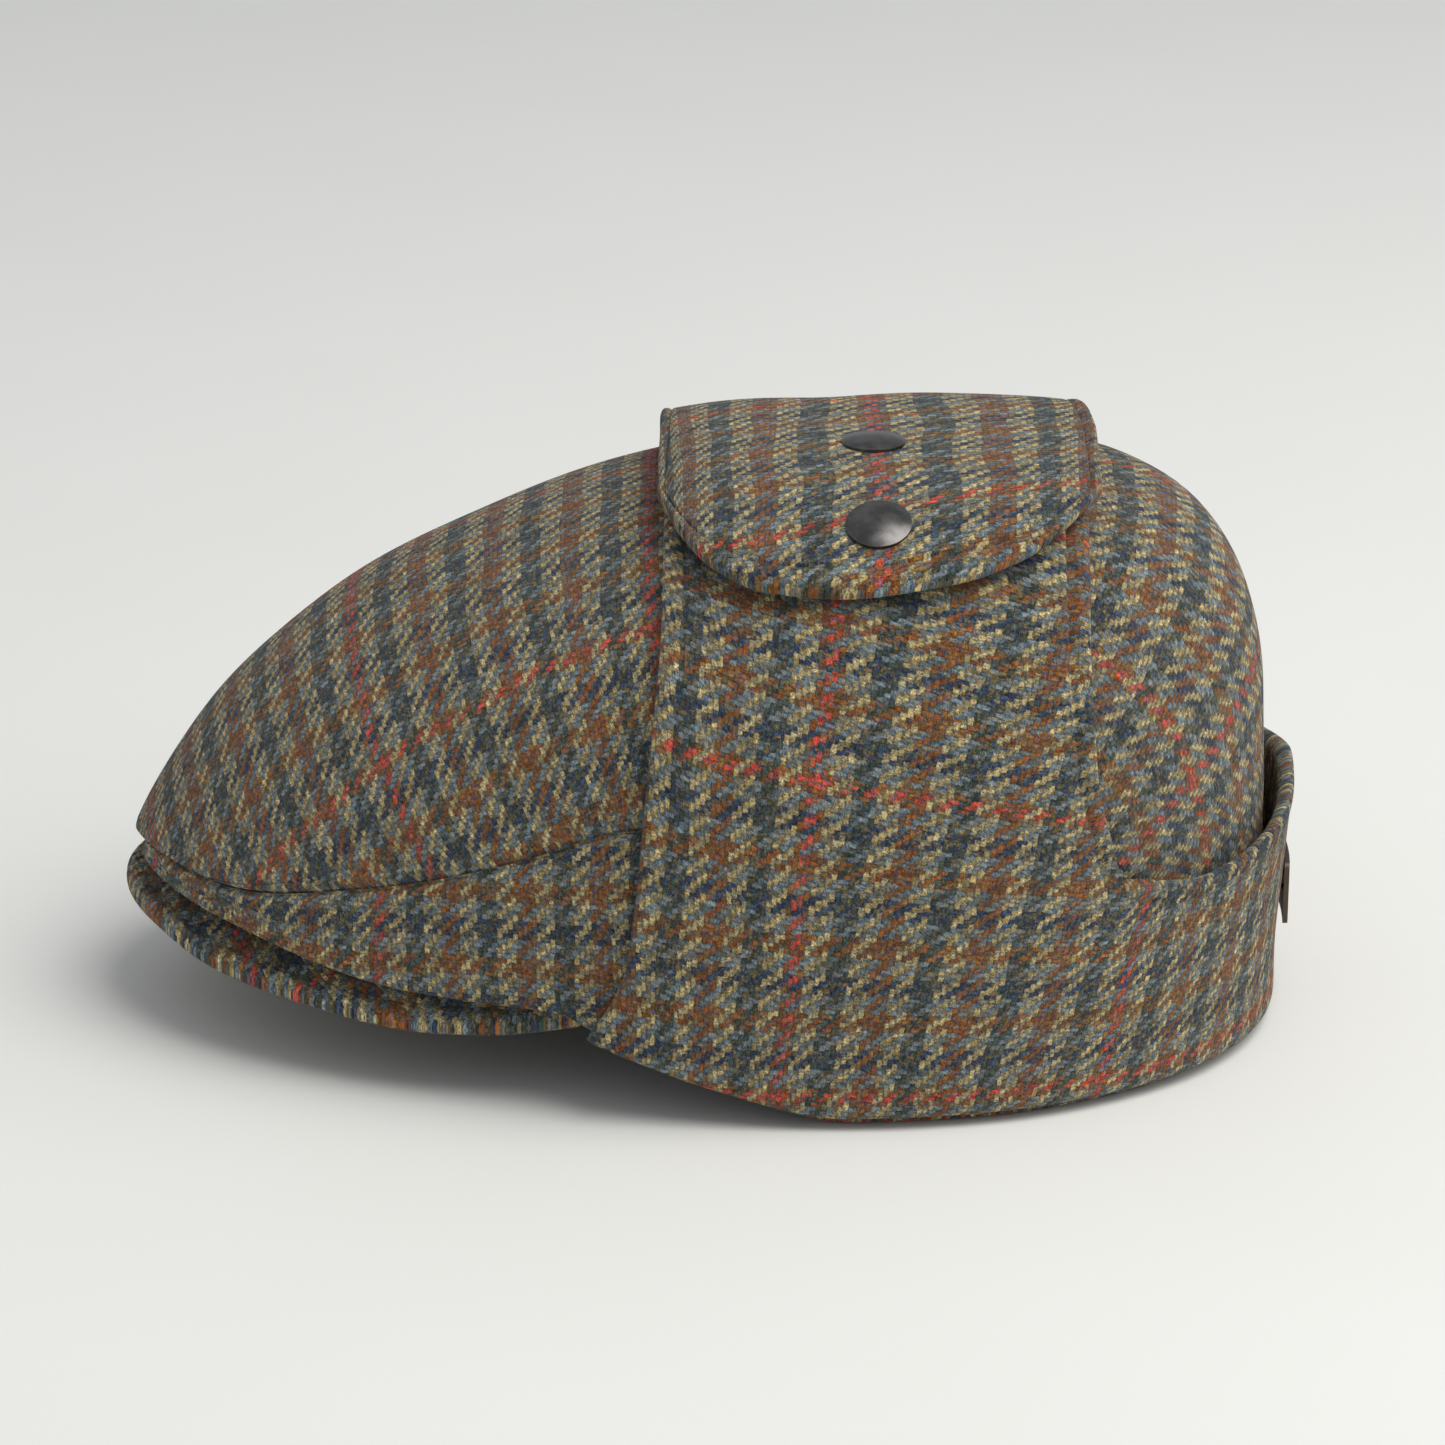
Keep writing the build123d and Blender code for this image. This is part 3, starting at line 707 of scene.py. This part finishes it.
    relief = g.math("MULTIPLY_ADD", fibres, 0.45, height)
    relief = g.math("MULTIPLY_ADD", grain, 0.35, relief)
    relief = g.math("MULTIPLY_ADD", hairs, 0.8, relief)
    bump = g.node("Bump", {"Height": relief, "Strength": 0.9, "Distance": 0.00042}).outputs[0]
    return g.finish(
        Base_Color=colour, Roughness=0.92, Normal=bump, Specular_IOR_Level=0.12,
        Sheen_Weight=0.16, Sheen_Roughness=0.45, Sheen_Tint=(0.80, 0.80, 0.76, 1),
    )


def lining_satin():
    g = Graph("lining_satin")
    place = g.node("UVMap", uv_map="weave").outputs[0]
    apart = g.node("SeparateXYZ", {0: place})
    diagonal = g.math("ADD", apart.outputs[0], apart.outputs[1])
    ribs = g.math("SINE", g.math("MULTIPLY", diagonal, 9000.0))
    soft = g.noise(place, 70.0, 2.0).outputs["Fac"]
    threads = g.noise(place, 2600.0, 2.0).outputs["Fac"]
    tone = g.math("MULTIPLY_ADD", threads, 0.5, 0.75)
    colour = g.blend(soft, (0.020, 0.023, 0.030, 1), (0.036, 0.040, 0.050, 1))
    colour = g.blend(1.0, colour, g.vector(tone, tone, tone), "MULTIPLY")
    relief = g.math("MULTIPLY_ADD", ribs, 0.3, g.math("MULTIPLY", soft, 6.0))
    bump = g.node("Bump", {"Height": relief, "Strength": 0.5, "Distance": 0.0002}).outputs[0]
    return g.finish(Base_Color=colour, Roughness=0.42, Normal=bump, Sheen_Weight=0.1)


def ribbed_band():
    g = Graph("ribbed_band")
    apart = g.node("SeparateXYZ", {0: g.node("UVMap", uv_map="weave").outputs[0]})
    ribs = g.math("SINE", g.math("MULTIPLY", apart.outputs[0], 2 * math.pi / 0.0009))
    across, along = g.math("MULTIPLY", apart.outputs[0], 900.0), g.math("MULTIPLY", apart.outputs[1], 5000.0)
    threads = g.noise(g.vector(across, along), 1.0)
    # The ribs' relief also lightens the colour along each rib and darkens it between them: painted shade over
    # the threads' own uneven tone.
    tone = g.math("MULTIPLY_ADD", ribs, 0.25, g.math("MULTIPLY_ADD", threads.outputs["Fac"], 0.6, 0.55))
    colour = g.blend(1.0, (0.040, 0.037, 0.034, 1), g.vector(tone, tone, tone), "MULTIPLY")
    relief = g.math("MULTIPLY_ADD", threads.outputs["Fac"], 0.3, ribs)
    bump = g.node("Bump", {"Height": relief, "Strength": 0.7, "Distance": 0.00015}).outputs[0]
    return g.finish(Base_Color=colour, Roughness=0.75, Normal=bump)


def woven_label():
    g = Graph("woven_label")
    apart = g.node("SeparateXYZ", {0: g.node("UVMap", uv_map="weave").outputs[0]})
    both = [g.math("SINE", g.math("MULTIPLY", apart.outputs[k], 2 * math.pi / 0.0005)) for k in (0, 1)]
    weave = g.math("MULTIPLY", *both)
    # The colour follows the weave's relief: painted highlight on the raised crossings and painted shade on
    # the sunk ones.
    colour = g.blend(g.math("MULTIPLY_ADD", weave, 0.3, 0.5), (0.52, 0.50, 0.45, 1), (0.66, 0.64, 0.58, 1))
    bump = g.node("Bump", {"Height": weave, "Strength": 0.4, "Distance": 0.0001}).outputs[0]
    return g.finish(Base_Color=colour, Roughness=0.7, Normal=bump)


def metal(name, colour, dark, roughness):
    """Satin plated metal, with fine scratches and slightly uneven polish."""
    g = Graph(name)
    place = g.node("TexCoord").outputs["Object"]
    cloudy = g.noise(place, 260.0, 3.0).outputs["Fac"]
    stretched = g.node("Mapping", {0: place, 3: (900.0, 9000.0, 4000.0)}).outputs[0]
    scratches = g.noise(stretched, 1.0, 2.0).outputs["Fac"]
    tone = g.blend(g.ramp(cloudy, 0.35, 0.7), (*dark, 1), (*colour, 1))
    rough = g.math("MULTIPLY_ADD", cloudy, 0.16, roughness)
    rough = g.math("MULTIPLY_ADD", scratches, 0.10, rough)
    bump = g.node("Bump", {"Height": scratches, "Strength": 0.12, "Distance": 0.00005}).outputs[0]
    return g.finish(Base_Color=tone, Metallic=1.0, Roughness=rough, Normal=bump)


def floor_paint():
    g = Graph("floor_paint")
    soft = g.noise(g.node("TexCoord").outputs["Object"], 9.0, 3.0).outputs["Fac"]
    colour = g.blend(soft, (0.80, 0.80, 0.765, 1), (0.83, 0.83, 0.80, 1))
    grain = g.noise(g.node("TexCoord").outputs["Object"], 700.0, 3.0).outputs["Fac"]
    bump = g.node("Bump", {"Height": grain, "Strength": 0.12, "Distance": 0.0003}).outputs[0]
    return g.finish(Base_Color=colour, Roughness=0.85, Normal=bump, Specular_IOR_Level=0.1)


# Putting it together

def dress(obj, material, slot, *nodes):
    obj.data.materials.clear()
    obj.data.materials.append(material)
    if nodes:
        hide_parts(*nodes)
    return obj


wool = tweed(CHECK_SHIFT)
satin = lining_satin()
crown_parts = dict(zip(("top", "left", "right"), crown_cloth()))
lining_parts = dict(zip(("top", "left", "right"), crown_lining()))
for key, panel, lining in (
    ("top", "top_panel", "top_lining"),
    ("left", "left_side_panel", "left_side_lining"),
    ("right", "right_side_panel", "right_side_lining"),
):
    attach(dress(crown_parts[key], wool, "tweed", panel), "crown")
    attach(dress(lining_parts[key], satin, "lining", lining), "crown")

sweatband, size_label = head_band()
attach(dress(sweatband, ribbed_band(), "sweatband", "sweatband"), "crown")
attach(dress(size_label, woven_label(), "label", "size_label"), "crown")
peak = dress(peak_cloth(), wool, "tweed", "peak_under_cover", "peak_board", "peak_top_cover")
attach(peak, "crown")

FLAP_LAYERS = ("cloth", "wadding", "facing")
flaps = {"left": left_flap(), "right": right_flap()}
for side, x in (("left", 1), ("right", -1)):
    foot, rest = flaps[side]
    dress(foot, wool, "tweed")
    layers = [f"{side}_{part}_{layer}" for part in ("ear", "strap") for layer in FLAP_LAYERS]
    dress(rest, wool, "tweed", *layers)
    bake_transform(foot)
    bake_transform(rest)

neck = dress(neck_band(), wool, "tweed", "neck_band_cloth", "neck_band_wadding", "neck_band_facing")
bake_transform(neck)

gunmetal = metal("gunmetal", (0.15, 0.145, 0.14), (0.09, 0.087, 0.085), 0.16)
bronze = metal("dark_bronze", (0.13, 0.10, 0.072), (0.095, 0.076, 0.058), 0.36)
for node, material, slot in (
    ("snap_caps", gunmetal, "gunmetal"),
    ("snap_sockets", gunmetal, "gunmetal"),
    ("snap_studs", gunmetal, "gunmetal"),
    ("snap_eyelets", gunmetal, "gunmetal"),
    ("name_plate", bronze, "bronze"),
    ("plate_backing", bronze, "bronze"),
):
    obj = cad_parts[node]
    dress(obj, material, slot)
    bevel = obj.modifiers.new("worn_edges", "BEVEL")
    bevel.width, bevel.segments, bevel.limit_method = 0.00018, 3, "ANGLE"


# Stage, lights and camera

def area_light(name, place, target, size, energy, colour):
    light = bpy.data.lights.new(name, "AREA")
    light.shape, light.size, light.energy, light.color = "DISK", size, energy, colour
    obj = bpy.data.objects.new(name, light)
    bpy.context.scene.collection.objects.link(obj)
    obj.location = place
    obj.rotation_euler = (Vector(target) - Vector(place)).to_track_quat("-Z", "Y").to_euler()
    return obj


FLOOR_SIZE, FLOOR_PLACE = 9, (-1.2, 0, -0.0004)
bpy.ops.mesh.primitive_plane_add(size=FLOOR_SIZE, location=FLOOR_PLACE)
floor = bpy.context.object
floor.name = "floor"
floor.data.materials.append(floor_paint())

world = bpy.data.worlds.new("studio")
world.use_nodes = True
world.node_tree.nodes["Background"].inputs[0].default_value = (0.93, 0.96, 1.0, 1)
world.node_tree.nodes["Background"].inputs[1].default_value = 0.49
scene = bpy.context.scene
scene.world = world
scene.view_settings.view_transform = "Standard"

middle = (cad_bounds[0] + cad_bounds[1]) / 2
area_light("key", (0.45, 0.80, 1.80), middle, 1.6, 27.5, (1.0, 0.98, 0.95))
area_light("side", (0.3, 1.9, 0.7), middle, 1.2, 8, (1.0, 0.99, 0.97))

ELEVATION, DISTANCE = math.radians(20), 1.2
target = Vector((0, 0.0037, 0.0660))
lens = bpy.data.cameras.new("camera")
lens.lens, lens.sensor_width = 124.3, 36
camera = bpy.data.objects.new("camera", lens)
scene.collection.objects.link(camera)
camera.location = target + DISTANCE * Vector((math.cos(ELEVATION), 0, math.sin(ELEVATION)))
camera.rotation_euler = (target - camera.location).to_track_quat("-Z", "Y").to_euler()
scene.camera = camera
